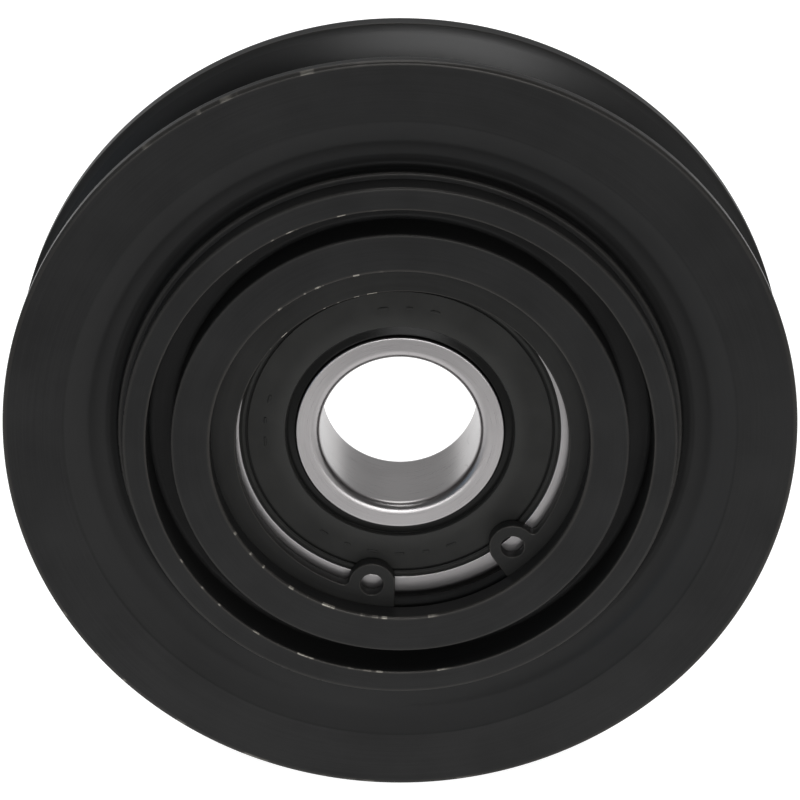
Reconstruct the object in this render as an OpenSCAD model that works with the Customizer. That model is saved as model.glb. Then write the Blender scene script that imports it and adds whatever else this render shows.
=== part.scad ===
// Belt tensioner idler: a single V-groove pulley wheel on a sealed deep groove
// ball bearing, which an internal snap ring holds in the wheel's hub.
// Millimetres. The origin is the bearing's centre. The wheel spins about +Y,
// and its front, with the snap ring, looks along -Y. A distance called a depth
// or a front is measured along the spin axis from the bearing's centre.

/* [Pulley wheel] */
// Radius of the rim
rim_r = 49.3; // [48.5:0.1:51]
// Depth of the rim's front face, towards the front
rim_front = 9.85; // [9.55:0.05:10.35]
// Depth of the rim's rear face, towards the rear
rim_rear = 8.15; // [7.85:0.05:8.65]
// Depth of the hub's front face, towards the front
hub_front = 11.75; // [11.35:0.05:12.35]
// Depth of the hub's rear face, towards the rear
hub_rear = 9.45; // [9.05:0.05:10.05]
// Outer radius of the hub in front of the web
hub_r = 28.3; // [28:0.1:28.8]
// Inner radius of the ring outside the hub's front recess
recess_r = 31.4; // [31:0.1:31.8]
// Outer radius of that ring
ring_r = 34.3; // [34:0.1:34.5]
// Break on the wheel's sharp edges
edge_break = 0.3; // [0.1:0.05:0.4]

/* [V groove] */
// Width of the belt groove at the rim
groove_w = 13.8; // [13:0.1:14.2]
// Depth of the belt groove below the rim
groove_depth = 12.3; // [11:0.1:12.6]
// Angle between a groove wall and the wheel's plane, in degrees
groove_angle = 18; // [17:0.5:19]
// Width of the land between the rim's front face and the groove
front_land = 1.7; // [1.6:0.1:2.2]

/* [Bearing] */
// Bore radius
bore_r = 10; // [9.9:0.05:10.1]
// Outer radius
outer_r = 23.5; // [23.4:0.05:23.5]
// Width over the rings' faces
bearing_w = 14; // [13.9:0.1:14.2]
// Ball radius
ball_r = 3.969; // [3.9:0.001:3.97]
// Clearance between a ball and each race
race_gap = 0.02; // [0.02:0.01:0.05]
// Thickness of the pressed cage's sheet
cage_t = 0.8; // [0.6:0.05:0.8]

/* [Snap ring] */
// Thickness of the ring
snap_t = 1.75; // [1.7:0.05:1.8]
// Outer radius of the ring, in its groove
snap_r = 24.65; // [24.4:0.05:24.7]
// Radius of the ring's eccentric inside edge
snap_in_r = 20.8; // [20.65:0.05:20.95]
// Offset of that inside edge towards the gap
snap_offset = 1; // [0.8:0.05:1.1]
// Turn of the gap's middle from straight down, in degrees
snap_turn = 16.8; // [0:0.1:90]
// Angle from the gap's middle to an ear's hole, in degrees
ear_angle = 26.8; // [25:0.1:29]
// Radius of an ear
ear_r = 2.95; // [2.7:0.05:3]
// Radius of the plier hole in an ear
ear_hole_r = 1.45; // [1:0.05:1.6]

/* [Hidden] */
$fn = 96;
over = 0.01;

// bearing rings
face = bearing_w / 2;
bore_corner = 1.25;
outer_corner = 1.3;
land_corner = 0.3;
pitch_r = (bore_r + outer_r) / 2;
groove_r = ball_r * 1.04;
inner_shoulder_r = 14.4;
inner_land_r = 13.05;
outer_shoulder_r = 19.3;
outer_land_r = 20.1;
shoulder_depth = 5.1;
seal_groove_r = 20.8;
seal_groove_depth = 6.3;

// balls and cage
ball_n = 8;
ball_step = 360 / ball_n;
pocket_r = ball_r + 0.05;
cage_in_r = 14.8;
cage_out_r = 18.7;
cage_reach = pocket_r + cage_t + over;
rivet_r = 0.5;
rivet_head_r = 0.95;
rivet_head_t = 0.4;

// seals
seal_gap = 0.02;
lip_gap = 0.06;
lip_crest_depth = 6.6;
lip_crest_w = 0.15;
lip_root_depth = 6.2;
lip_out_r = 14.25;
seal_depth = 6.8;
seal_face_r = 14.42;
seal_back = 5.55;
moat_r = 19.05;
moat_w = 0.28;
moat_depth = 6.55;
bead_r = 19.68;
bead_section = 0.28;
insert_in_r = 14.2;
insert_out_r = 19.9;
insert_t = 0.5;

// snap ring and its groove
snap_back = face + 0.05;
snap_groove_r = 24.75;
snap_groove_w = snap_t + 0.1;
ear_pitch_r = 20.65;
ear_fillet = 0.7;
fillet_bite = 0.03;
end_angle = ear_angle - asin((ear_r - fillet_bite) / ear_pitch_r);
end_spare = 2;

// wheel
rim_break = 0.5;
groove_start = front_land - rim_front;
groove_end = groove_start + groove_w;
groove_bottom_r = rim_r - groove_depth;
groove_run = groove_depth * tan(groove_angle);
dish_out_r = 41.9;
dish_in_r = 36.6;
dish_depth = 6.55;
dish_fillet = 1.5;
step_r = 35.1;
step_depth = 8.65;
recess_depth = 5.75;
rear_lip_r = 21;
rear_dish_out_r = 42.5;
rear_dish_in_r = 36.5;
rear_dish_depth = 5.35;
rear_boss_r = 30.5;

// A drawn section, with X the radius and Y the distance along the spin axis,
// turned into a ring about +Y.
module turned() {
    rotate([-90, 0, 0])
        rotate_extrude()
            children();
}

// The piece between a square corner and the arc that rounds it. It is cut from
// a convex corner and added to a concave one. way points from the corner into
// the arc's centre.
module corner_piece(at, way, radius) {
    translate(at + way * radius)
        difference() {
            translate([way.x > 0 ? -radius - over : 0, way.y > 0 ? -radius - over : 0])
                square(radius + over);
            circle(radius);
        }
}

// Copies a section to both sides of the bearing's middle plane.
module both_sides() {
    children();
    mirror([0, 1])
        children();
}

module pulley_wheel() {
    bore_break = hub_front - edge_break;
    color([0.14, 0.14, 0.145])
        turned()
            union() {
                polygon([
                    [outer_r, -bore_break],
                    [outer_r + edge_break, -hub_front],
                    [hub_r - edge_break, -hub_front],
                    [hub_r, -bore_break],
                    [hub_r, -recess_depth],
                    [recess_r, -recess_depth],
                    [recess_r, -bore_break],
                    [recess_r + edge_break, -hub_front],
                    [ring_r - edge_break, -hub_front],
                    [ring_r, -bore_break],
                    [ring_r, -step_depth],
                    [step_r, -step_depth],
                    [step_r, -dish_depth],
                    [dish_in_r, -dish_depth],
                    [dish_out_r, -rim_front],
                    [rim_r - rim_break, -rim_front],
                    [rim_r, rim_break - rim_front],
                    [rim_r, groove_start - edge_break],
                    [rim_r - edge_break, groove_start],
                    [groove_bottom_r, groove_start + groove_run],
                    [groove_bottom_r, groove_end - groove_run],
                    [rim_r - edge_break, groove_end],
                    [rim_r, groove_end + edge_break],
                    [rim_r, rim_rear - rim_break],
                    [rim_r - rim_break, rim_rear],
                    [rear_dish_out_r, rim_rear],
                    [rear_dish_in_r, rear_dish_depth],
                    [rear_boss_r, rear_dish_depth],
                    [rear_boss_r, hub_rear - edge_break],
                    [rear_boss_r - edge_break, hub_rear],
                    [rear_lip_r + edge_break, hub_rear],
                    [rear_lip_r, hub_rear - edge_break],
                    [rear_lip_r, face],
                    [outer_r, face],
                    [outer_r, -snap_back],
                    [snap_groove_r, -snap_back],
                    [snap_groove_r, -snap_back - snap_groove_w],
                    [outer_r, -snap_back - snap_groove_w]
                ]);
                corner_piece([step_r, -dish_depth], [1, -1], dish_fillet);
                corner_piece([rear_boss_r, rear_dish_depth], [1, 1], dish_fillet);
            }
}

// Fills the corner where an ear meets the ring's inside edge. Its arc bites a
// little into both, so that it crosses their curves.
module ear_root_fillet(hole_at, edge_centre) {
    reach = snap_in_r - ear_fillet;
    span = norm(hole_at - edge_centre);
    to_hole = atan2(hole_at.y - edge_centre.y, hole_at.x - edge_centre.x);
    swing = acos((span ^ 2 + reach ^ 2 - (ear_r + ear_fillet) ^ 2) / (2 * span * reach));
    way = [cos(to_hole + swing), sin(to_hole + swing)];
    middle = edge_centre + way * reach;
    difference() {
        polygon([hole_at, middle, edge_centre + way * (snap_in_r + ear_fillet)]);
        translate(middle)
            circle(ear_fillet + fillet_bite);
    }
}

// What one ear adds to the ring, on the +X side of a gap that is straight down:
// a round, a block behind it that reaches past the end face, and the root fillet.
module snap_ear() {
    hole_way = [sin(ear_angle), -cos(ear_angle)];
    past_end_way = [sin(end_angle - end_spare), -cos(end_angle - end_spare)];
    linear_extrude(snap_t)
        translate(hole_way * ear_pitch_r)
            circle(ear_r);
    linear_extrude(snap_t)
        polygon([
            hole_way * ear_pitch_r,
            past_end_way * ear_pitch_r,
            past_end_way * (snap_in_r + ear_r),
            hole_way * (snap_in_r + ear_r)
        ]);
    linear_extrude(snap_t)
        ear_root_fillet(hole_way * ear_pitch_r, [0, -snap_offset]);
}

module snap_ring() {
    end_reach = 2 * snap_r * [sin(end_angle), -cos(end_angle)];
    color([0.17, 0.17, 0.17])
        translate([0, -snap_back, 0])
            rotate([90, 0, 0])
                rotate([0, 0, snap_turn])
                    difference() {
                        union() {
                            linear_extrude(snap_t)
                                difference() {
                                    circle(snap_r);
                                    translate([0, -snap_offset])
                                        circle(snap_in_r);
                                }
                            snap_ear();
                            mirror([1, 0, 0])
                                snap_ear();
                        }
                        translate([0, 0, -snap_t])
                            linear_extrude(3 * snap_t)
                                polygon([[0, 0], [-end_reach.x, end_reach.y], end_reach]);
                        for (side = [-1, 1])
                            translate([side * sin(ear_angle), -cos(ear_angle), 0] * ear_pitch_r)
                                cylinder(r = ear_hole_r, h = 3 * snap_t, center = true);
                    }
}

module bearing_outer_ring() {
    race_bottom = pitch_r + ball_r + race_gap;
    color([0.6, 0.6, 0.58])
        turned()
            difference() {
                translate([outer_shoulder_r, -face])
                    square([outer_r - outer_shoulder_r, bearing_w]);
                translate([race_bottom - groove_r, 0])
                    circle(groove_r);
                both_sides() {
                    corner_piece([outer_r, face], [-1, -1], outer_corner);
                    translate([outer_shoulder_r - over, shoulder_depth])
                        square([outer_land_r - outer_shoulder_r + over, face]);
                    translate([outer_shoulder_r, shoulder_depth])
                        square([seal_groove_r - outer_shoulder_r, seal_groove_depth - shoulder_depth]);
                }
            }
}

module bearing_inner_ring() {
    race_bottom = pitch_r - ball_r - race_gap;
    color([0.68, 0.67, 0.64])
        turned()
            difference() {
                translate([bore_r, -face])
                    square([inner_shoulder_r - bore_r, bearing_w]);
                translate([race_bottom + groove_r, 0])
                    circle(groove_r);
                both_sides() {
                    corner_piece([bore_r, face], [1, -1], bore_corner);
                    corner_piece([inner_land_r, face], [-1, -1], land_corner);
                    translate([inner_land_r, shoulder_depth])
                        square([inner_shoulder_r - inner_land_r + over, face]);
                }
            }
}

module ball(number) {
    color([0.8, 0.8, 0.8])
        rotate([0, (number - 1) * ball_step, 0])
            translate([0, 0, pitch_r])
                sphere(ball_r);
}

// Puts a copy at every ball, or half a step on, at every rivet.
module around(offset_steps = 0) {
    for (number = [0 : ball_n - 1])
        rotate([0, (number + offset_steps) * ball_step, 0])
            translate([0, 0, pitch_r])
                children();
}

// The rear half of the two-piece cage. The front half is its mirror image. A
// deep band loses the ball pockets, and everything above the flat sheet that is
// outside the pockets' cups.
module cage_half() {
    band_w = cage_out_r - cage_in_r;
    color([0.62, 0.6, 0.55])
        difference() {
            turned()
                translate([cage_in_r, 0])
                    square([band_w, cage_reach]);
            around()
                sphere(pocket_r);
            difference() {
                turned()
                    translate([cage_in_r - 1, cage_t])
                        square([band_w + 2, cage_reach]);
                around()
                    sphere(pocket_r + cage_t);
            }
            around(0.5)
                rotate([90, 0, 0])
                    cylinder(r = rivet_r, h = 4 * cage_t, center = true);
        }
}

module cage_rear() {
    cage_half();
}

module cage_front() {
    mirror([0, 1, 0])
        cage_half();
}

module cage_rivets() {
    color([0.7, 0.68, 0.62])
        around(0.5)
            rotate([90, 0, 0])
                union() {
                    cylinder(r = rivet_r, h = 2 * cage_t, center = true);
                    for (side = [-1, 1])
                        translate([0, 0, side * (cage_t + rivet_head_t / 2)])
                            cylinder(r = rivet_head_r, h = rivet_head_t, center = true);
                }
}

// The rear seal's rubber. It snaps into the outer ring's groove, and its lip
// runs around the inner ring's land.
module seal_rubber() {
    rubber_r = outer_land_r - seal_gap;
    bead_edge_r = seal_groove_r - seal_gap;
    lip_in_r = inner_land_r + lip_gap;
    insert_seat = seal_back + insert_t;
    color([0.16, 0.16, 0.165])
        union() {
            turned()
                polygon([
                    [lip_in_r, seal_back],
                    [lip_in_r, lip_crest_depth - lip_crest_w],
                    [lip_in_r + lip_crest_w, lip_crest_depth],
                    [lip_out_r, lip_root_depth],
                    [seal_face_r, seal_depth],
                    [moat_r, seal_depth],
                    [moat_r, moat_depth],
                    [moat_r + moat_w, moat_depth],
                    [moat_r + moat_w, seal_depth],
                    [rubber_r - seal_gap, seal_depth],
                    [rubber_r, seal_depth - seal_gap],
                    [rubber_r, seal_groove_depth - seal_gap],
                    [bead_edge_r, seal_groove_depth - seal_gap],
                    [bead_edge_r, shoulder_depth + seal_gap],
                    [insert_out_r, shoulder_depth + seal_gap],
                    [insert_out_r, insert_seat],
                    [insert_in_r, insert_seat],
                    [insert_in_r, seal_back]
                ]);
            turned()
                translate([bead_r, seal_depth - bead_section / 2])
                    circle(bead_section);
        }
}

// The rear seal's flat steel insert, moulded into the rubber's inner side.
module seal_insert() {
    color([0.55, 0.55, 0.53])
        turned()
            translate([insert_in_r, seal_back])
                square([insert_out_r - insert_in_r, insert_t]);
}

module rear_seal_rubber() {
    seal_rubber();
}

module rear_seal_insert() {
    seal_insert();
}

module front_seal_rubber() {
    mirror([0, 1, 0])
        seal_rubber();
}

module front_seal_insert() {
    mirror([0, 1, 0])
        seal_insert();
}

pulley_wheel();
snap_ring();
bearing_outer_ring();
bearing_inner_ring();
ball(1);  // ball_1
ball(2);  // ball_2
ball(3);  // ball_3
ball(4);  // ball_4
ball(5);  // ball_5
ball(6);  // ball_6
ball(7);  // ball_7
ball(8);  // ball_8
cage_front();
cage_rear();
cage_rivets();
front_seal_rubber();
front_seal_insert();
rear_seal_rubber();
rear_seal_insert();
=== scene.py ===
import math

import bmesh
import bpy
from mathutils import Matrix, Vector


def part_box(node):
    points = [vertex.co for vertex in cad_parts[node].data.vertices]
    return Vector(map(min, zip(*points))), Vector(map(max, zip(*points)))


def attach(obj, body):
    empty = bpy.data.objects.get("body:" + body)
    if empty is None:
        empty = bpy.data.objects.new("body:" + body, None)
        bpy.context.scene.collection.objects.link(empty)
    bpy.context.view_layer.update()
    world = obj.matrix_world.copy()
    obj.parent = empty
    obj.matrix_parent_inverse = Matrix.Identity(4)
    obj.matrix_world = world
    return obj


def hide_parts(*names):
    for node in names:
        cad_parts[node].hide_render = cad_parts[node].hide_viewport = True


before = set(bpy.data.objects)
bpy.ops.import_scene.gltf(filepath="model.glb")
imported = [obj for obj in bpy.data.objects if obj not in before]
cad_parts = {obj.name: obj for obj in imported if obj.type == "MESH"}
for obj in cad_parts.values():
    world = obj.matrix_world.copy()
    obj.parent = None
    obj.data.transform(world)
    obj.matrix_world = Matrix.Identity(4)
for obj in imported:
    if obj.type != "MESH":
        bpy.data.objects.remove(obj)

# Looks for a belt tensioner idler: a black V-groove pulley on a sealed ball bearing.
# Lengths are millimetres until a mesh is made. Sections are drawn as (radius, y),
# with y along the spin axis and the front at negative y, and are turned about Y.
# Directions round the axis are degrees from straight up, towards +X.

MM = 0.001
FULL_TURN = 2 * math.pi
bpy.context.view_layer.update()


def section_size(node):
    """Inner and outer radius, lowest and highest y of a turned CAD node, in mm."""
    radii = [math.hypot(v.co.x, v.co.z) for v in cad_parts[node].data.vertices]
    low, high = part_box(node)
    return min(radii) / MM, max(radii) / MM, low.y / MM, high.y / MM


# ---------------------------------------------------------------- dimensions
# From the frame
_, RIM_R, HUB_FRONT, HUB_REAR = section_size("pulley_wheel")
BORE_R, SHOULDER_R, _, FACE = section_size("bearing_inner_ring")
_, OUTER_R, _, _ = section_size("bearing_outer_ring")
_, _, SNAP_FRONT, SNAP_BACK = section_size("snap_ring")
BALL_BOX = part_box("ball_1")
FLOOR_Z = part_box("pulley_wheel")[0].z

# The wheel's section
RIM_FRONT, RIM_REAR = -9.85, 8.15
GROOVE_FRONT, GROOVE_W, GROOVE_DEPTH = -8.15, 13.8, 12.3
GROOVE_RUN = GROOVE_DEPTH * math.tan(math.radians(18))
DISH_OUT_R, DISH_IN_R, DISH_Y = 41.9, 36.6, -6.55
STEP_R, STEP_Y = 35.1, -8.65
RING_R, RECESS_R, HUB_R, RECESS_Y = 34.3, 31.4, 28.3, -5.75
SNAP_GROOVE_R, SNAP_GROOVE_W = 24.75, 1.85
REAR_LIP_R, REAR_BOSS_R = 21.0, 30.5
REAR_DISH_OUT_R, REAR_DISH_IN_R, REAR_DISH_Y = 42.5, 36.5, 5.35

# The bearing's sections
PITCH_R = (BORE_R + OUTER_R) / 2
BALL_R = (BALL_BOX[1].z - BALL_BOX[0].z) / 2 / MM
RACE_GAP, RACE_R = 0.02, BALL_R * 1.04
BORE_CORNER = 1.25
LAND_R, OUTER_LAND_R, OUTER_SHOULDER_R = 13.05, 20.1, 19.3
SHOULDER_Y, SEAL_GROOVE_R, SEAL_GROOVE_Y = 5.1, 20.8, 6.3
SEAL_GAP, LIP_GAP = 0.02, 0.06
LIP_CREST_Y, LIP_ROOT_R, LIP_ROOT_Y = 6.6, 14.25, 6.2
SEAL_FACE_R, SEAL_Y, SEAL_BACK = 14.42, 6.8, 5.55
MOAT_R, MOAT_W, MOAT_Y = 19.05, 0.28, 6.55
BEAD_R, BEAD_SECTION = 19.68, 0.28
INSERT_IN_R, INSERT_OUT_R, INSERT_Y = 14.2, 19.9, 6.05

# The snap ring's outline, drawn with its gap straight down and then turned
SNAP_R, SNAP_IN_R, SNAP_OFFSET, SNAP_TURN = 24.65, 20.8, 1.0, math.radians(16.8)
EAR_PITCH_R, EAR_ANGLE = 20.65, math.radians(26.8)
EAR_R, EAR_HOLE_R, EAR_FILLET = 2.95, 1.45, 0.7
SNAP_EDGE = 0.16

# Bars moulded on the front seal, in place of lettering: the middle of each group,
# the number of bars and the step between them, all in degrees
MARK_R, MARK_W, MARK_H, MARK_FOOT = 16.9, 0.40, 0.10, 0.03
MARK_GROUPS = ((4, 3, 11), (-84, 3, 10), (186, 6, 11.5))
MARK_LENGTHS = (1.5, 0.9, 1.3)
# A bar's crowned section, in widths and heights, and how blunt its ends are
MARK_SECTION = ((-0.5, 0), (-0.34, 0.8), (-0.12, 1), (0.12, 1), (0.34, 0.8), (0.5, 0))
MARK_END_POWER, MARK_END_SIZE = 6, 0.97

# Mesh fineness: steps round a whole turn, a rounded corner, a race, a bead, a bar and
# the parts of the snap ring, and how far a support point stands off a corner
TURN_STEPS, ARC_STEPS, RACE_STEPS, BEAD_STEPS, MARK_STEPS = 288, 5, 24, 8, 10
SNAP_OUTSIDE_STEPS, SNAP_INSIDE_STEPS = 260, 220
EAR_FILLET_STEPS, EAR_STEPS, EAR_HOLE_STEPS = 10, 40, 48
SUPPORT = 0.18


# ---------------------------------------------------------------- sections
def arc(centre, radius, start, sweep, steps):
    """Points on a circle from the angle start through sweep, in radians."""
    return [
        (centre[0] + radius * math.cos(start + sweep * i / steps),
         centre[1] + radius * math.sin(start + sweep * i / steps))
        for i in range(steps + 1)
    ]


def way_to(origin, point):
    return math.atan2(point[1] - origin[1], point[0] - origin[0])


def shortest(sweep):
    return (sweep + math.pi) % FULL_TURN - math.pi


def rounded(corners):
    """A closed section with its corners rounded.
    corners are (r, y), (r, y, radius) or (r, y, radius, wear). The result is a list
    of (r, y, wear). A support point on each side of a rounded corner keeps the flat
    faces flat, and ends the wear."""
    result = []
    for i, (r, y, *rest) in enumerate(corners):
        radius, wear = (*rest, 0, 0)[:2]
        at = Vector((r, y))
        to_last = Vector(corners[i - 1][:2]) - at
        to_next = Vector(corners[(i + 1) % len(corners)][:2]) - at
        if radius == 0:
            result.append((r, y, wear))
            continue
        last_way, next_way = to_last.normalized(), to_next.normalized()
        half = last_way.angle(next_way) / 2
        setback = min(radius / math.tan(half), 0.48 * to_last.length, 0.48 * to_next.length)
        radius = setback * math.tan(half)
        middle = at + (last_way + next_way).normalized() * (radius / math.sin(half))
        start, end = at + last_way * setback, at + next_way * setback
        if setback + SUPPORT < 0.5 * to_last.length:
            result.append((*(start + last_way * SUPPORT), 0))
        from_way = way_to(middle, start)
        sweep = shortest(way_to(middle, end) - from_way)
        result += [(*point, wear) for point in arc(middle, radius, from_way, sweep, ARC_STEPS)]
        if setback + SUPPORT < 0.5 * to_next.length:
            result.append((*(end + next_way * SUPPORT), 0))
    return result


def flipped(corners):
    """The same corners on the other side of the bearing, wound the same way round."""
    return [(r, -y, *rest) for r, y, *rest in reversed(corners)]


def race(middle_r, reach):
    """The points of a race across the bearing's middle plane. reach is the angle
    from the radius through the race's middle to its edge."""
    return arc((middle_r, 0), RACE_R, reach, -2 * reach, RACE_STEPS)


def wheel_section():
    groove_bottom_r = RIM_R - GROOVE_DEPTH
    groove_rear = GROOVE_FRONT + GROOVE_W
    snap_groove_front = SNAP_BACK - SNAP_GROOVE_W
    return rounded([
        (OUTER_R, HUB_FRONT, 0.28, 1),
        (HUB_R, HUB_FRONT, 0.22, 0.5),
        (HUB_R, RECESS_Y, 0.5),
        (RECESS_R, RECESS_Y, 0.5),
        (RECESS_R, HUB_FRONT, 0.16, 1),
        (RING_R, HUB_FRONT, 0.3, 0.6),
        (RING_R, STEP_Y, 0.1),
        (STEP_R, STEP_Y, 0.3, 0.65),
        (STEP_R, DISH_Y, 1.5),
        (DISH_IN_R, DISH_Y, 1.2),
        (DISH_OUT_R, RIM_FRONT, 0.25),
        (RIM_R, RIM_FRONT, 0.45, 0.82),
        (RIM_R, GROOVE_FRONT, 0.2, 0.5),
        (groove_bottom_r, GROOVE_FRONT + GROOVE_RUN, 0.5),
        (groove_bottom_r, groove_rear - GROOVE_RUN, 0.5),
        (RIM_R, groove_rear, 0.2, 0.5),
        (RIM_R, RIM_REAR, 0.35, 0.8),
        (REAR_DISH_OUT_R, RIM_REAR, 0.3),
        (REAR_DISH_IN_R, REAR_DISH_Y, 1.2),
        (REAR_BOSS_R, REAR_DISH_Y, 1.5),
        (REAR_BOSS_R, HUB_REAR, 0.3, 0.7),
        (REAR_LIP_R, HUB_REAR, 0.3, 0.8),
        (REAR_LIP_R, FACE),
        (OUTER_R, FACE),
        (OUTER_R, SNAP_BACK),
        (SNAP_GROOVE_R, SNAP_BACK, 0.1),
        (SNAP_GROOVE_R, snap_groove_front, 0.1),
        (OUTER_R, snap_groove_front, 0.08),
    ])


def outer_ring_section():
    race_middle_r = PITCH_R + BALL_R + RACE_GAP - RACE_R
    rear_half = [
        (OUTER_R, FACE, 1.3, 0.3),
        (OUTER_LAND_R, FACE, 0.12, 0.5),
        (OUTER_LAND_R, SEAL_GROOVE_Y, 0.05),
        (SEAL_GROOVE_R, SEAL_GROOVE_Y, 0.08),
        (SEAL_GROOVE_R, SHOULDER_Y, 0.08),
        (OUTER_SHOULDER_R, SHOULDER_Y, 0.15),
    ]
    reach = math.acos((OUTER_SHOULDER_R - race_middle_r) / RACE_R)
    return rounded(rear_half + race(race_middle_r, reach) + flipped(rear_half))


def inner_ring_section():
    race_middle_r = PITCH_R - BALL_R - RACE_GAP + RACE_R
    rear_half = [
        (BORE_R, FACE, BORE_CORNER, 0.6),
        (LAND_R, FACE, 0.25, 0.6),
        (LAND_R, SHOULDER_Y, 0.1),
        (SHOULDER_R, SHOULDER_Y, 0.15),
    ]
    reach = math.acos((race_middle_r - SHOULDER_R) / RACE_R)
    left_race = [(2 * race_middle_r - r, y) for r, y in race(race_middle_r, reach)]
    return rounded(rear_half + left_race + flipped(rear_half))


def rear_seal_corners():
    """The rear seal: lip, inner zone, moat, bead, outer edge and the seat of its
    steel insert."""
    rubber_r = OUTER_LAND_R - SEAL_GAP
    bead_edge_r = SEAL_GROOVE_R - SEAL_GAP
    bead_middle = (BEAD_R, SEAL_Y - BEAD_SECTION / 2)
    bead = arc(bead_middle, BEAD_SECTION, math.radians(150), math.radians(-120), BEAD_STEPS)
    return [
        (LAND_R + LIP_GAP, SEAL_BACK),
        (LAND_R + LIP_GAP, LIP_CREST_Y, 0.12),
        (LIP_ROOT_R, LIP_ROOT_Y, 0.06),
        (SEAL_FACE_R, SEAL_Y, 0.12),
        (MOAT_R, SEAL_Y, 0.07),
        (MOAT_R, MOAT_Y, 0.04),
        (MOAT_R + MOAT_W, MOAT_Y, 0.04),
        (MOAT_R + MOAT_W, SEAL_Y, 0.02),
        *bead,
        (rubber_r, SEAL_Y, 0.05),
        (rubber_r, SEAL_GROOVE_Y - SEAL_GAP, 0.02),
        (bead_edge_r, SEAL_GROOVE_Y - SEAL_GAP, 0.1),
        (bead_edge_r, SHOULDER_Y + SEAL_GAP, 0.1),
        (INSERT_OUT_R, SHOULDER_Y + SEAL_GAP),
        (INSERT_OUT_R, INSERT_Y),
        (INSERT_IN_R, INSERT_Y),
        (INSERT_IN_R, SEAL_BACK),
    ]


# ---------------------------------------------------------------- meshes
def new_piece(name, verts, faces, wear):
    """An object of closed smooth mesh, from millimetres. wear is 0 to 1 a vertex."""
    mesh = bpy.data.meshes.new(name)
    mesh.from_pydata([Vector(v) * MM for v in verts], [], faces)
    mesh.attributes.new("wear", "FLOAT", "POINT").data.foreach_set("value", wear)
    mesh.polygons.foreach_set("use_smooth", [True] * len(mesh.polygons))
    piece = bpy.data.objects.new(name, mesh)
    bpy.context.scene.collection.objects.link(piece)
    return piece


def outward(piece):
    """Turns every face's normal out of the solid."""
    work = bmesh.new()
    work.from_mesh(piece.data)
    bmesh.ops.recalc_face_normals(work, faces=work.faces)
    work.to_mesh(piece.data)
    work.free()
    return piece


def turned(name, section):
    """A closed section turned into a ring about Y."""
    rows = len(section)
    verts, wear, faces = [], [], []
    for i in range(TURN_STEPS):
        angle = FULL_TURN * i / TURN_STEPS
        for r, y, worn in section:
            verts.append((r * math.sin(angle), y, r * math.cos(angle)))
            wear.append(float(worn))
        here, there = i * rows, (i + 1) % TURN_STEPS * rows
        for j in range(rows):
            k = (j + 1) % rows
            faces.append((here + j, here + k, there + k, there + j))
    return outward(new_piece(name, verts, faces, wear))


def inset(loop, distance):
    """A closed loop of (x, z) moved to its own left."""
    result = []
    for i, (x, z) in enumerate(loop):
        along = (Vector(loop[(i + 1) % len(loop)]) - Vector(loop[i - 1])).normalized()
        result.append((x - along.y * distance, z + along.x * distance))
    return result


def plate(name, loops, back, front, edge):
    """A flat plate across Y, its edges rounded to the radius edge. loops are closed
    lists of (x, z) with the plate on their left: its outline, then its holes."""
    quarter = [math.pi / 2 * step / ARC_STEPS for step in range(ARC_STEPS + 1)]
    layers = [(back - edge * (1 - math.cos(a)), edge * (1 - math.sin(a))) for a in quarter]
    layers += [(front + edge * (1 - math.cos(a)), edge * (1 - math.sin(a))) for a in reversed(quarter)]
    verts, faces, wear, rims = [], [], [], []
    for loop in loops:
        count, first = len(loop), len(verts)
        for y, depth in layers:
            verts += [(x, y, z) for x, z in inset(loop, depth)]
            wear += [float(0 < depth < edge)] * count
        last = len(verts) - count
        faces += [
            (start + i, start + (i + 1) % count, start + count + (i + 1) % count, start + count + i)
            for start in range(first, last, count) for i in range(count)
        ]
        rims.append([
            [(start + i, start + (i + 1) % count) for i in range(count)] for start in (first, last)
        ])
    piece = new_piece(name, verts, faces, wear)
    work = bmesh.new()
    work.from_mesh(piece.data)
    work.verts.ensure_lookup_table()
    for side in (0, 1):
        rim = [work.edges.get((work.verts[a], work.verts[b])) for both in rims for a, b in both[side]]
        bmesh.ops.triangle_fill(work, use_beauty=True, edges=rim)
    bmesh.ops.recalc_face_normals(work, faces=work.faces)
    for face in work.faces:
        face.smooth = abs(face.normal.y) < 0.999
    work.to_mesh(piece.data)
    work.free()
    return piece


def raised_bars(name, bars, face_y):
    """Low bars moulded on a face that looks along -Y, their feet a little way into
    it. bars are (radius, degrees from straight up, length)."""
    rows = len(MARK_SECTION)
    verts, faces = [], []
    for radius, degrees, length in bars:
        first = len(verts)
        for i in range(MARK_STEPS + 1):
            along = 2 * i / MARK_STEPS - 1
            swell = math.sqrt(1 - MARK_END_SIZE * along ** MARK_END_POWER)
            angle = math.radians(degrees) + along * length / 2 / radius
            for side, up in MARK_SECTION:
                r = radius + side * MARK_W * swell
                y = face_y + MARK_FOOT - (MARK_H + MARK_FOOT) * up * swell
                verts.append((r * math.sin(angle), y, r * math.cos(angle)))
        for i in range(MARK_STEPS):
            here, there = first + i * rows, first + (i + 1) * rows
            for j in range(rows):
                k = (j + 1) % rows
                faces.append((here + j, here + k, there + k, there + j))
        faces.append(tuple(range(first, first + rows)))
        faces.append(tuple(range(first + MARK_STEPS * rows, first + (MARK_STEPS + 1) * rows)))
    return outward(new_piece(name, verts, faces, [0.0] * len(verts)))


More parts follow.
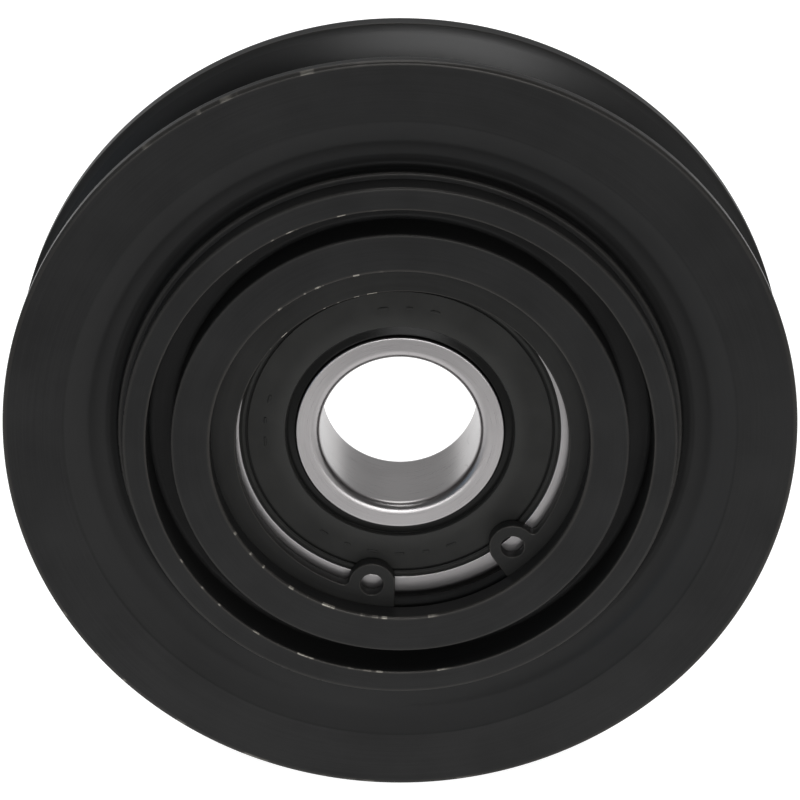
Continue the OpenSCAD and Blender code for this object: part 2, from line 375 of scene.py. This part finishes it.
def snap_ring_loops():
    """The snap ring's outline and its two plier holes."""
    hole = (EAR_PITCH_R * math.sin(EAR_ANGLE), -EAR_PITCH_R * math.cos(EAR_ANGLE))
    edge_middle = (0, -SNAP_OFFSET)
    # the root fillet touches the inside edge and the ear
    reach = SNAP_IN_R - EAR_FILLET
    span = math.dist(hole, edge_middle)
    swing = math.acos((span ** 2 + reach ** 2 - (EAR_R + EAR_FILLET) ** 2) / (2 * span * reach))
    fillet_way = way_to(edge_middle, hole) + swing
    fillet_middle = arc(edge_middle, reach, fillet_way, 0, 1)[0]
    fillet_sweep = shortest(way_to(fillet_middle, hole) - fillet_way)
    # the end face touches the ear
    end_angle = EAR_ANGLE - math.asin(EAR_R / EAR_PITCH_R)
    ear_start = way_to(hole, fillet_middle)
    ear_sweep = (end_angle + math.pi - ear_start) % FULL_TURN
    ear = arc(fillet_middle, EAR_FILLET, fillet_way, fillet_sweep, EAR_FILLET_STEPS)
    ear += arc(hole, EAR_R, ear_start, ear_sweep, EAR_STEPS)[1:]
    other_ear = [(-x, z) for x, z in reversed(ear)]
    outer_start = end_angle - math.pi / 2
    inner_start, inner_sweep = math.pi - fillet_way, 2 * fillet_way - math.pi
    outline = arc((0, 0), SNAP_R, outer_start, FULL_TURN - 2 * end_angle, SNAP_OUTSIDE_STEPS)
    outline += other_ear
    outline += arc(edge_middle, SNAP_IN_R, inner_start, inner_sweep, SNAP_INSIDE_STEPS)[1:-1]
    outline += ear
    holes = [
        arc((side * hole[0], hole[1]), EAR_HOLE_R, 0, -FULL_TURN, EAR_HOLE_STEPS)[:-1]
        for side in (-1, 1)
    ]
    c, s = math.cos(SNAP_TURN), math.sin(SNAP_TURN)
    return [[(x * c - z * s, x * s + z * c) for x, z in loop] for loop in (outline, *holes)]


# ---------------------------------------------------------------- materials
class Material:
    """A Principled material, with short ways to build its nodes. Noise scales are
    per metre, in the piece's own space, so that a pattern moves with its piece."""

    def __init__(self, name, **constants):
        self.material = bpy.data.materials.new(name)
        self.material.use_nodes = True
        self.tree = self.material.node_tree
        self.shader = self.tree.nodes["Principled BSDF"]
        self.set(**constants)
        self.place = self.node("ShaderNodeTexCoord").outputs["Object"]
        self.x, self.y, self.z = self.node("ShaderNodeSeparateXYZ", self.place).outputs
        square = self.math("ADD", self.math("POWER", self.x, 2), self.math("POWER", self.z, 2))
        self.radius = self.math("SQRT", square)
        self.way_x = self.math("DIVIDE", self.x, self.radius)
        self.way_z = self.math("DIVIDE", self.z, self.radius)

    def feed(self, socket, value):
        if isinstance(value, bpy.types.NodeSocket):
            self.tree.links.new(value, socket)
        elif isinstance(value, tuple) and len(value) == 3 and socket.type == "RGBA":
            socket.default_value = (*value, 1.0)
        else:
            socket.default_value = value

    def node(self, kind, *values, **settings):
        made = self.tree.nodes.new(kind)
        for key, value in settings.items():
            setattr(made, key, value)
        for socket, value in zip(made.inputs, values):
            self.feed(socket, value)
        return made

    def set(self, **sockets):
        for socket, value in sockets.items():
            self.feed(self.shader.inputs[socket.replace("_", " ")], value)

    def math(self, operation, *values):
        return self.node("ShaderNodeMath", *values, operation=operation).outputs[0]

    def both(self, *values):
        """The product of the values."""
        result = values[0]
        for value in values[1:]:
            result = self.math("MULTIPLY", result, value)
        return result

    def ramp(self, value, low, high, to_low=0.0, to_high=1.0):
        """Goes smoothly from to_low at low to to_high at high."""
        made = self.node("ShaderNodeMapRange", value, low, high, to_low, to_high,
                         interpolation_type="SMOOTHSTEP")
        return made.outputs[0]

    def band(self, value, start, full, fade, end):
        """Rises from 0 at start to 1 at full, and falls again from fade to end, in mm."""
        rise = self.ramp(value, start * MM, full * MM)
        return self.both(rise, self.ramp(value, fade * MM, end * MM, 1.0, 0.0))

    def mix(self, factor, a, b):
        made = self.node("ShaderNodeMix", data_type="FLOAT")
        for index, value in ((0, factor), (2, a), (3, b)):
            self.feed(made.inputs[index], value)
        return made.outputs[0]

    def mix_colour(self, factor, a, b):
        made = self.node("ShaderNodeMix", data_type="RGBA")
        for index, value in ((0, factor), (6, a), (7, b)):
            self.feed(made.inputs[index], value)
        return made.outputs[2]

    def noise(self, scale, detail=3.0, roughness=0.5, place=None):
        made = self.node("ShaderNodeTexNoise", place or self.place)
        for socket, value in (("Scale", scale), ("Detail", detail), ("Roughness", roughness)):
            made.inputs[socket].default_value = value
        return made.outputs["Fac"]

    def turning_lines(self, pitch, around=3.0, detail=2.0):
        """What a turning tool leaves: noise that changes across the section every
        pitch mm, and only slowly round the axis."""
        per_pitch = 1 / (pitch * MM)
        place = self.node("ShaderNodeCombineXYZ", self.both(self.radius, per_pitch),
                          self.both(self.way_x, around), self.both(self.way_z, around)).outputs[0]
        made = self.node("ShaderNodeTexNoise", place, self.both(self.y, per_pitch),
                         noise_dimensions="4D")
        made.inputs["Scale"].default_value = 1.0
        made.inputs["Detail"].default_value = detail
        return made.outputs["Fac"]

    def round_noise(self, scale, seed, detail=2.0):
        """Noise that changes only round the axis."""
        place = self.node("ShaderNodeCombineXYZ", self.way_x, seed, self.way_z).outputs[0]
        return self.noise(scale, detail, 0.6, place)

    def specks(self, cell, size, share):
        """1 on round specks of a size in mm: one in each cell, in that share of cells."""
        made = self.node("ShaderNodeTexVoronoi", self.place)
        made.inputs["Scale"].default_value = 1 / (cell * MM)
        dot = self.math("LESS_THAN", made.outputs["Distance"], size / cell)
        chance = self.node("ShaderNodeSeparateXYZ", made.outputs["Color"]).outputs[0]
        return self.both(dot, self.math("LESS_THAN", chance, share))

    def hairlines(self, scale, width, share):
        """1 on fine curved scratches, on that share of the surface."""
        offset = self.math("ABSOLUTE", self.math("SUBTRACT", self.noise(scale, 0.0), 0.5))
        line = self.ramp(offset, 0.0, width, 1.0, 0.0)
        return self.both(line, self.ramp(self.noise(scale * 2.3, 1.0), 1 - share, 1.05 - share))

    def worn_edges(self):
        return self.node("ShaderNodeAttribute", attribute_name="wear").outputs["Fac"]

    def relief(self, *layers):
        """Bumps, from (height 0 to 1, depth in mm)."""
        normal = None
        for height, depth in layers:
            made = self.node("ShaderNodeBump")
            made.inputs["Distance"].default_value = depth * MM
            self.feed(made.inputs["Height"], height)
            if normal:
                self.feed(made.inputs["Normal"], normal)
            normal = made.outputs["Normal"]
        self.set(Normal=normal)


def shade(colour, factor):
    return tuple(min(1.0, c * factor) for c in colour)


def even(tone):
    return (tone, tone, tone)


# Colours that wear and dirt leave
BARE_STEEL = (0.36, 0.34, 0.30)
BURNISHED = (0.075, 0.070, 0.064)
BELT_POLISHED = even(0.032)
SCRATCHED = even(0.08)
DUST = (0.26, 0.25, 0.23)
OIL = (0.34, 0.29, 0.20)
# How much paler or darker than its own tone a surface gets: painted light on the dish's cone, rubbing,
# painted shade in the dish's inner corner, and painted shade on the seal's lip and moat
CONE_PAINTED_LIGHT, RUBBED, CORNER_PAINTED_SHADE, LIP_AND_MOAT_SHADE = 1.9, 1.9, 0.2, 0.35


def black_steel(name, tone, rough, pitch, seed):
    """Thin dull coating on turned steel: turning lines, mottling, faint scratches and
    specks of dust. The dish's cone is made paler, as painted light, and its inner
    corner darker, as painted shade; the belt has polished the groove's walls, and
    edges are burnished, and bare in dashes."""
    m = Material(name, Specular_IOR_Level=0.055)
    mottle = m.noise(90, 5.0, 0.62)
    lines = m.turning_lines(pitch)
    tones = m.math("ADD", m.both(mottle, 0.6), m.both(lines, 0.4))
    colour = m.mix_colour(m.ramp(tones, 0.3, 0.7), shade(tone, 0.84), shade(tone, 1.16))
    colour = m.mix_colour(m.ramp(m.noise(28, 2.0), 0.5, 0.75, 0.0, 0.3), colour, shade(tone, 1.35))
    hairs = m.hairlines(45, 0.003, 0.16)
    dust = m.specks(5.0, 0.10, 0.2)
    edges = m.worn_edges()
    front_side = m.ramp(m.y, (DISH_Y + 0.1) * MM, (DISH_Y + 0.3) * MM, 1.0, 0.0)
    # painted light: the dish's cone is made paler in colour, most towards its inner edge
    cone = m.band(m.radius, DISH_IN_R, DISH_IN_R + 0.4, DISH_OUT_R - 0.4, DISH_OUT_R)
    cone_painted_light = m.both(front_side, cone, m.ramp(m.radius, DISH_IN_R * MM, DISH_OUT_R * MM, 0.85, 0.4))
    # painted shade: the dish's inner corner, by the step, is darkened in colour
    corner = m.band(m.radius, STEP_R, STEP_R + 0.1, STEP_R + 0.9, DISH_IN_R + 0.1)
    corner_painted_shade = m.both(front_side, corner, 0.8)
    groove_rear = GROOVE_FRONT + GROOVE_W
    in_groove = m.both(
        m.ramp(m.radius, (RIM_R - GROOVE_DEPTH) * MM, (RIM_R - 10) * MM),
        m.band(m.y, GROOVE_FRONT - 0.1, GROOVE_FRONT + 0.4, groove_rear - 0.4, groove_rear + 0.1))
    dashes = m.ramp(m.round_noise(15, seed, 2.0), 0.56, 0.63)
    # dashes gather at the top, a little to the left, and at the bottom
    handled = m.math("SUBTRACT", m.math("ABSOLUTE", m.way_z), m.both(m.way_x, 0.3))
    stretches = m.ramp(m.both(handled, m.round_noise(1.6, seed + 3.1)), 0.40, 0.55)
    bare = m.both(m.ramp(edges, 0.7, 1.0), dashes, stretches)
    # painted light on the dish's cone
    colour = m.mix_colour(cone_painted_light, colour, shade(tone, CONE_PAINTED_LIGHT))
    # painted shade in the dish's inner corner
    colour = m.mix_colour(corner_painted_shade, colour, shade(tone, CORNER_PAINTED_SHADE))
    colour = m.mix_colour(m.both(hairs, 0.12), colour, SCRATCHED)
    colour = m.mix_colour(m.both(dust, 0.7), colour, DUST)
    colour = m.mix_colour(in_groove, colour, BELT_POLISHED)
    colour = m.mix_colour(m.both(edges, 0.3), colour, BURNISHED)
    colour = m.mix_colour(bare, colour, BARE_STEEL)
    metal = m.math("MAXIMUM", m.both(in_groove, 0.5), m.math("MAXIMUM", m.both(edges, 0.3), bare))
    gloss = m.ramp(mottle, 0.3, 0.7, rough - 0.04, rough + 0.05)
    gloss = m.mix(in_groove, gloss, rough - 0.16)
    gloss = m.mix(m.both(edges, 0.9), gloss, rough - 0.25)
    m.set(Base_Color=colour, Metallic=metal, Roughness=m.mix(bare, gloss, 0.34))
    m.relief((lines, 0.004), (m.noise(1500, 3.0, 0.6), 0.004), (hairs, -0.002))
    return m.material


def ground_steel(name, tone, rough, pitch):
    """Bright ground bearing steel: grinding lines, faint stains and scratches."""
    m = Material(name, Metallic=1.0, Anisotropic=0.5)
    lines = m.turning_lines(pitch, 2.0, 4.0)
    stains = m.ramp(m.noise(120, 4.0, 0.6), 0.45, 0.75)
    hairs = m.hairlines(160, 0.006, 0.45)
    colour = m.mix_colour(m.ramp(lines, 0.3, 0.7), shade(tone, 0.88), tone)
    colour = m.mix_colour(m.both(stains, 0.3), colour, shade(tone, 0.72))
    colour = m.mix_colour(m.both(m.worn_edges(), 0.3), colour, shade(tone, 1.2))
    gloss = m.ramp(lines, 0.3, 0.7, rough - 0.03, rough + 0.05)
    m.set(Base_Color=colour, Roughness=m.mix(hairs, gloss, rough + 0.15))
    m.relief((lines, 0.0015), (hairs, -0.002))
    m.set(Tangent=m.node("ShaderNodeTangent", direction_type="RADIAL", axis="Y").outputs[0])
    return m.material


def moulded_rubber(name, tone, rough):
    """Moulded nitrile rubber: matt and blotchy, rubbed paler towards the lip, with
    pores and specks of dust. The lip itself is smooth, and the lip and the moat are
    darkened as painted shade."""
    m = Material(name, Specular_IOR_Level=0.08)
    blotch = m.noise(140, 4.0, 0.6)
    rubbed = m.ramp(m.radius, SEAL_FACE_R * MM, 0.5 * (SEAL_FACE_R + MOAT_R) * MM, 0.5, 0.0)
    lip = m.ramp(m.radius, (LIP_ROOT_R - 0.05) * MM, (SEAL_FACE_R - 0.05) * MM, 1.0, 0.0)
    moat_out_r = MOAT_R + MOAT_W
    in_moat = m.band(m.radius, MOAT_R - 0.05, MOAT_R + 0.05, moat_out_r, moat_out_r + 0.1)
    dust = m.specks(3.1, 0.08, 0.1)
    colour = m.mix_colour(m.ramp(blotch, 0.3, 0.7), shade(tone, 0.84), shade(tone, 1.16))
    colour = m.mix_colour(rubbed, colour, shade(tone, RUBBED))
    colour = m.mix_colour(m.both(dust, 0.6), colour, DUST)
    # painted shade: the lip and the moat are darkened in colour
    colour = m.mix_colour(m.math("MAXIMUM", lip, in_moat), colour, shade(tone, LIP_AND_MOAT_SHADE))
    gloss = m.ramp(blotch, 0.3, 0.7, rough - 0.04, rough + 0.06)
    m.set(Base_Color=colour, Roughness=m.mix(lip, gloss, 0.24))
    m.relief((m.noise(1800, 3.0, 0.6), 0.005), (m.turning_lines(0.35, 1.0), 0.002))
    return m.material


def pressed_steel(name, tone, rough, grain):
    """Pressed or headed steel: rolling grain and oil stains."""
    m = Material(name, Metallic=1.0)
    rolled = m.noise(grain, 4.0, 0.7)
    oil = m.ramp(m.noise(200), 0.45, 0.7)
    colour = m.mix_colour(m.ramp(rolled, 0.3, 0.7), shade(tone, 0.82), tone)
    colour = m.mix_colour(m.both(oil, 0.4), colour, OIL)
    m.set(Base_Color=colour, Roughness=m.mix(oil, rough + 0.08, rough - 0.06))
    m.relief((rolled, 0.003))
    return m.material


def lapped_steel(name):
    """A lapped ball: near mirror with a faint haze, under a film of oil."""
    m = Material(name, Metallic=1.0, Coat_Weight=0.3, Coat_Roughness=0.05)
    haze = m.noise(600, 3.0, 0.6)
    colour = m.mix_colour(m.ramp(haze, 0.35, 0.65), even(0.70), (0.80, 0.79, 0.78))
    m.set(Base_Color=colour, Roughness=m.ramp(haze, 0.3, 0.7, 0.05, 0.1))
    m.relief((haze, 0.0005))
    return m.material


# ---------------------------------------------------------------- the object
def add(piece, body, node, material):
    """Puts a new piece in a CAD node's place."""
    piece.data.materials.append(material)
    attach(piece, body)
    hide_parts(node)


def coat(material, *nodes):
    """Gives CAD nodes that stay in view a finished material."""
    for node in nodes:
        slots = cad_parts[node].data.materials
        slots.clear()
        slots.append(material)


wheel_black = black_steel("wheel_black", even(0.0180), 0.42, 0.16, 0.3)
snap_black = black_steel("snap_ring_black", (0.0188, 0.0188, 0.0183), 0.42, 0.5, 7.7)
inner_bright = ground_steel("inner_ring_bright", (0.32, 0.308, 0.309), 0.30, 0.05)
outer_bright = ground_steel("outer_ring_bright", (0.26, 0.251, 0.252), 0.32, 0.05)
rubber_black = moulded_rubber("seal_black", (0.0200, 0.0200, 0.0191), 0.5)

add(turned("wheel", wheel_section()), "pulley", "pulley_wheel", wheel_black)
add(plate("snap_ring_plate", snap_ring_loops(), SNAP_BACK, SNAP_FRONT, SNAP_EDGE),
    "pulley", "snap_ring", snap_black)
add(turned("outer_ring", outer_ring_section()), "pulley", "bearing_outer_ring",
    outer_bright)
add(turned("inner_ring", inner_ring_section()), "bearing_shaft_side", "bearing_inner_ring",
    inner_bright)
add(turned("rear_seal", rounded(rear_seal_corners())), "pulley", "rear_seal_rubber",
    rubber_black)
add(turned("front_seal", rounded(flipped(rear_seal_corners()))), "pulley", "front_seal_rubber",
    rubber_black)

bars = [
    (MARK_R, middle + (i - (count - 1) / 2) * step, MARK_LENGTHS[i % len(MARK_LENGTHS)])
    for middle, count, step in MARK_GROUPS for i in range(count)
]
marks = raised_bars("front_seal_marks", bars, -SEAL_Y)
marks.data.materials.append(rubber_black)
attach(marks, "pulley")

balls = [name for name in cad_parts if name.startswith("ball_")]
coat(lapped_steel("ball_polished"), *balls)
coat(pressed_steel("cage_pressed", (0.50, 0.48, 0.44), 0.36, 700), "cage_front", "cage_rear")
coat(pressed_steel("rivets_headed", (0.55, 0.53, 0.50), 0.32, 1500), "cage_rivets")
coat(pressed_steel("inserts_rolled", (0.45, 0.45, 0.44), 0.40, 500), "front_seal_insert",
     "rear_seal_insert")


# ---------------------------------------------------------------- the studio
# Radiances of the floor and the room, where white is 1, and the places along Y, in
# metres, or the directions between which they change
FLOOR_FAR, FLOOR_NEAR, FLOOR_BEHIND = 0.3, 1.2, 0.9
FLOOR_FAR_TO_NEAR, FLOOR_NEAR_TO_BEHIND = (-0.12, -0.05), (-0.03, 0.0)
ROOM_FRONT, ROOM_BEHIND, ROOM_TURN = 0.12, 0.5, (-0.2, 0.3)
FLOOR_HALF = 5.0
CAMERA_PLACE, CAMERA_TILT, CAMERA_LENS = (0.0, -0.3257, 0.14711), math.radians(65.91), 126.4


def floor_white(name):
    """A lit white table: it glows, so that shadows on it stay faint. It is brightest
    just in front of the object, and greyer further off in front."""
    m = Material(name)
    clouds = m.mix_colour(m.noise(6, 4.0, 0.6), even(0.50), even(0.53))
    glow = m.ramp(m.y, *FLOOR_FAR_TO_NEAR, FLOOR_FAR, FLOOR_NEAR)
    glow = m.mix(m.ramp(m.y, *FLOOR_NEAR_TO_BEHIND), glow, FLOOR_BEHIND)
    m.set(Base_Color=clouds, Roughness=0.7, Emission_Color=even(1.0), Emission_Strength=glow)
    return m.material


def softbox(name, place, aim, size, radiance, colour=(1.0, 1.0, 1.0)):
    """A rectangular light of size (wide, high) metres, as bright all over as a white
    of that radiance."""
    light = bpy.data.lights.new(name, "AREA")
    light.shape = "RECTANGLE"
    light.size, light.size_y = size
    light.energy = radiance * math.pi * size[0] * size[1]
    light.color = colour
    box = bpy.data.objects.new(name, light)
    box.location = place
    box.rotation_euler = (Vector(aim) - Vector(place)).to_track_quat("-Z", "Y").to_euler()
    bpy.context.scene.collection.objects.link(box)


def surroundings():
    """A pale room behind the object and a dim one in front of it."""
    world = bpy.data.worlds.new("studio")
    world.use_nodes = True
    nodes, links = world.node_tree.nodes, world.node_tree.links
    direction = nodes.new("ShaderNodeTexCoord")
    parts = nodes.new("ShaderNodeSeparateXYZ")
    light = nodes.new("ShaderNodeMapRange")
    light.interpolation_type = "SMOOTHSTEP"
    for socket, value in zip(light.inputs[1:5], (*ROOM_TURN, ROOM_FRONT, ROOM_BEHIND)):
        socket.default_value = value
    links.new(direction.outputs["Generated"], parts.inputs[0])
    links.new(parts.outputs["Y"], light.inputs[0])
    background = nodes["Background"]
    background.inputs["Color"].default_value = (1.0, 1.0, 1.0, 1.0)
    links.new(light.outputs[0], background.inputs["Strength"])
    return world


def table():
    corners = [
        (x * FLOOR_HALF, y * FLOOR_HALF, FLOOR_Z) for x, y in ((-1, -1), (1, -1), (1, 1), (-1, 1))
    ]
    mesh = bpy.data.meshes.new("floor")
    mesh.from_pydata(corners, [], [(0, 1, 2, 3)])
    mesh.materials.append(floor_white("floor_white"))
    floor = bpy.data.objects.new("floor", mesh)
    bpy.context.scene.collection.objects.link(floor)


def camera():
    lens = bpy.data.cameras.new("camera")
    lens.lens = CAMERA_LENS
    lens.sensor_width = 36.0
    lens.clip_start = 0.01
    body = bpy.data.objects.new("camera", lens)
    body.location = CAMERA_PLACE
    body.rotation_euler = (CAMERA_TILT, 0.0, 0.0)
    bpy.context.scene.collection.objects.link(body)
    bpy.context.scene.camera = body


bpy.context.scene.view_settings.view_transform = "Standard"
bpy.context.scene.world = surroundings()
CENTRE, LOW_CENTRE = (0.0, 0.0, 0.0), (0.0, 0.0, 0.1)
BLUISH = (0.4, 0.7, 1.0)
softbox("front", (0.14, -1.5, 0.42), CENTRE, (0.6, 0.4), 8.4)
softbox("low_front", (0.0, -1.2, 0.04), (0.0, 0.0, 0.04), (1.0, 0.17), 4.9)
softbox("right_fill", (1.1, -0.9, 0.18), LOW_CENTRE, (0.9, 0.4), 0.7)
softbox("left_fill", (-1.1, -0.9, 0.18), LOW_CENTRE, (0.9, 0.4), 0.5, BLUISH)
softbox("crown", (0.0, -0.1, 0.9), CENTRE, (0.3, 0.3), 8.0)
softbox("rear_high", (0.0, 0.9, 1.3), CENTRE, (0.8, 0.6), 4.0)
table()
camera()
